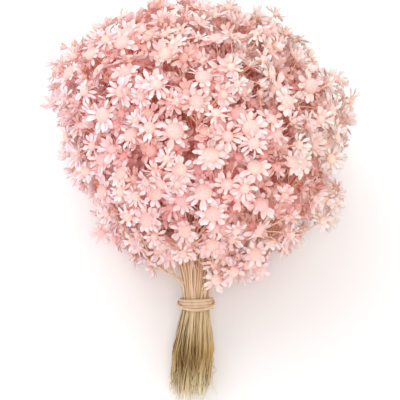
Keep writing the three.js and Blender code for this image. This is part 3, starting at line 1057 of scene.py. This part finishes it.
# paleTo and rosyFrom are the depths over which the painted shade turns blooms from pale to rosy
sprayForm = {
    "lean": 13, "squeeze": 0.1, "paleTo": 2, "rosyFrom": 21, "toneRange": 0.22, "toneDraw": (-1.5, 1),
    "overFloor": 0.05,
}


# Painted shade: blooms are paler at the head's outside and rosier deeper in, standing in for the warm shade
# between the blooms, with a random part from bloom to bloom
def depthShadeToneOf(bloom):
    fromMiddle = bloom["centre"] - headCentre
    length = sqrt(dot(fromMiddle, fromMiddle))
    fromCrown = acos(dot(fromMiddle, axisUp) / length)
    depth = headReach(fromCrown, atan2(dot(fromMiddle, sideUp), fromMiddle[0])) - length
    share = (depth - sprayForm["paleTo"]) / (sprayForm["rosyFrom"] - sprayForm["paleTo"])
    return min(max(1 - share + sprayForm["toneRange"] * bloomDraw.uniform(*sprayForm["toneDraw"]), 0), 1)


def sortOf(bloom):
    if bloom["pressed"]:
        return "pressed"
    return bloom.get("sort") or bloomDraw.choice(list(sortShares), p=list(sortShares.values()))


def setBloom(bloom):
    model = bloomModels[sortOf(bloom)]
    size = bloom["radius"] / fullSize
    height = size if "sort" in bloom else 1
    squeeze = 1 - sprayForm["squeeze"] * bloomDraw.random()
    lean = 0 if bloom["pressed"] else radians(sprayForm["lean"] * bloomDraw.normal())
    matrix = (
        Matrix.Translation(inRow(bloom["centre"]))
        @ Matrix(np.column_stack([bloom["side"], bloom["up"], bloom["face"]]).tolist()).to_4x4()
        @ (
            Matrix.Rotation(bloomDraw.random() * tau, 4, "Z") @ Matrix.Rotation(lean, 4, "X")
            @ Matrix.Diagonal((size, size * squeeze, height, 1)))
    )
    placed = copyOf(model, matrix)
    # Painted shade: the bloom's tone is rosier the deeper it sits in the head
    writeValues(placed, "bloomTone", depthShadeToneOf(bloom))
    return placed


def modelSpray(spray):
    carried = spray["blooms"] + [one for one in extras if one["spray"] == spray["index"]]
    stems = modelStems(spray, carried)
    piece = joined(f"blooming_{spray['index']:02d}", stems, *[setBloom(bloom) for bloom in carried])
    positions = positionsOf(piece)
    positions[:, 2] = np.maximum(positions[:, 2], sprayForm["overFloor"] * mm)
    piece.data.vertices.foreach_set("co", positions.ravel())
    piece.data.update()
    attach(piece, "root")
    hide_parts(f"spray_{spray['index']:02d}")
    return piece


pieces = [modelSpray(spray) for spray in sprays]
for model in [*petals.values(), *bloomModels.values()]:
    bpy.data.objects.remove(model)
triangles = sum(len(polygon.vertices) - 2 for piece in pieces for polygon in piece.data.polygons)
print("set", len(pieces), "sprays,", triangles, "triangles")

# The rubber band: one strand wound round the neck, and a turn that crosses the others
bandForm = {
    "innerRadius": 10.0, "width": 2.1, "thickness": 1.5, "sides": 10, "turns": 4, "steps": 40,
    "crossTilt": 17, "crossOut": 1.1,
}
bandFinish = {
    "tans": [(0.3, (0.6, 0.41, 0.26)), (0.7, (0.72, 0.53, 0.36))],
    "dust": 260, "roughness": (0.45, 0.7), "bump": (0.2, 0.1), "specular": 0.5, "sheen": 0,
}


def makeBandMaterial():
    material, tree, shader = newMaterial("tanRubber")
    dust = noiseAt(tree, readPlaces(tree), bandFinish["dust"], detail=4.0)
    tans = coloured(tree, dust, bandFinish["tans"])
    paint(tree, shader, bandFinish, tans, noiseTo(tree, dust, *bandFinish["roughness"]), dust)
    return material


def modelStrand(turns, rise, radius, tilt):
    deselect()
    bpy.ops.mesh.primitive_circle_add(
        vertices=bandForm["sides"], radius=0.5 * mm, fill_type="NGON", rotation=(pi / 2, 0, 0))
    strand = bpy.context.object
    bpy.ops.object.transform_apply(rotation=True)
    editAll()
    bpy.ops.transform.resize(value=(bandForm["thickness"], 1, bandForm["width"]), center_override=(0, 0, 0))
    bpy.ops.transform.translate(value=(radius * mm, 0, -turns * rise / 2 * mm))
    leaveEdit()
    wind = strand.modifiers.new("wind", "SCREW")
    wind.angle = tau * turns
    wind.screw_offset = rise * turns * mm
    wind.steps = wind.render_steps = bandForm["steps"] * turns
    wind.use_merge_vertices = rise == 0
    wind.merge_threshold = 0.01 * mm
    bpy.ops.object.modifier_apply(modifier="wind")
    editAll()
    bpy.ops.mesh.delete_loose()
    bpy.ops.mesh.select_all(action="SELECT")
    bpy.ops.mesh.fill_holes(sides=0)  # the strand's two ends
    bpy.ops.mesh.normals_make_consistent(inside=False)
    leaveEdit()
    strand.matrix_world = Matrix.Rotation(radians(tilt), 4, "X")
    applyPlace(strand)
    return strand


def modelBand():
    pitch = neck["tieWidth"] / bandForm["turns"]
    radius = bandForm["innerRadius"] + bandForm["thickness"] / 2
    windings = modelStrand(bandForm["turns"] - 1, pitch, radius, 0)
    crossing = modelStrand(1, 0, radius + bandForm["crossOut"], bandForm["crossTilt"])
    band = joined("rubberBand", windings, crossing)
    atNeck = Matrix.Translation(inRow(place(0, neck["tieCentreAt"], 0)))
    band.matrix_world = atNeck @ Matrix.Rotation(lying["angle"] - pi / 2, 4, "X")
    applyPlace(band)
    smoothTo(50)
    band.data.materials.append(makeBandMaterial())
    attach(band, "root")
    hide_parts("tie")


modelBand()
print("wound the band")

# The floor, the light and the camera
stageForm = {
    "floorSize": 6, "floorColour": (0.93, 0.92, 0.91, 1), "floorRoughness": 0.9,
    "worldColour": (1, 1, 1, 1), "worldStrength": 0.9, "bounces": 10,
}
lights = [
    {"name": "window", "at": (-0.6, 0.7, 1.2), "size": 1.2, "power": 6.6, "colour": (0.97, 0.975, 1)},
    {"name": "front", "at": (0.05, -0.6, 1.3), "size": 0.5, "power": 5.2, "colour": (1, 0.985, 0.975)},
]
view = {"elevation": 65, "distance": 700, "width": 264, "target": (2.6, 130, 0), "nearest": 0.01}


def makeStage():
    deselect()
    bpy.ops.mesh.primitive_plane_add(size=stageForm["floorSize"])
    floor = bpy.context.object
    floor.name = "floor"
    material, _, shader = newMaterial("paleFloor")
    shader.inputs["Base Color"].default_value = stageForm["floorColour"]
    shader.inputs["Roughness"].default_value = stageForm["floorRoughness"]
    shader.inputs["Specular IOR Level"].default_value = 0
    floor.data.materials.append(material)
    world = bpy.data.worlds.new("studio")
    world.use_nodes = True
    glow = world.node_tree.nodes["Background"].inputs
    glow["Color"].default_value = stageForm["worldColour"]
    glow["Strength"].default_value = stageForm["worldStrength"]
    bpy.context.scene.world = world
    for form in lights:
        bpy.ops.object.light_add(type="AREA", location=form["at"])
        light = bpy.context.object
        light.name = form["name"]
        light.data.size = form["size"]
        light.data.energy = form["power"]
        light.data.color = form["colour"]
        light.rotation_euler = (-Vector(form["at"])).to_track_quat("-Z", "Y").to_euler()
    bpy.context.scene.view_settings.view_transform = "Standard"
    bpy.context.scene.cycles.diffuse_bounces = stageForm["bounces"]


def makeCamera():
    target = inRow(place(*view["target"]))
    tilt = radians(view["elevation"])
    back = Vector((0, -cos(tilt), sin(tilt)))
    bpy.ops.object.camera_add(location=target + back * view["distance"] * mm)
    camera = bpy.context.object
    camera.rotation_euler = (-back).to_track_quat("-Z", "Y").to_euler()
    camera.data.lens = camera.data.sensor_width * view["distance"] / view["width"]
    camera.data.clip_start = view["nearest"]
    bpy.context.scene.camera = camera


makeStage()
makeCamera()
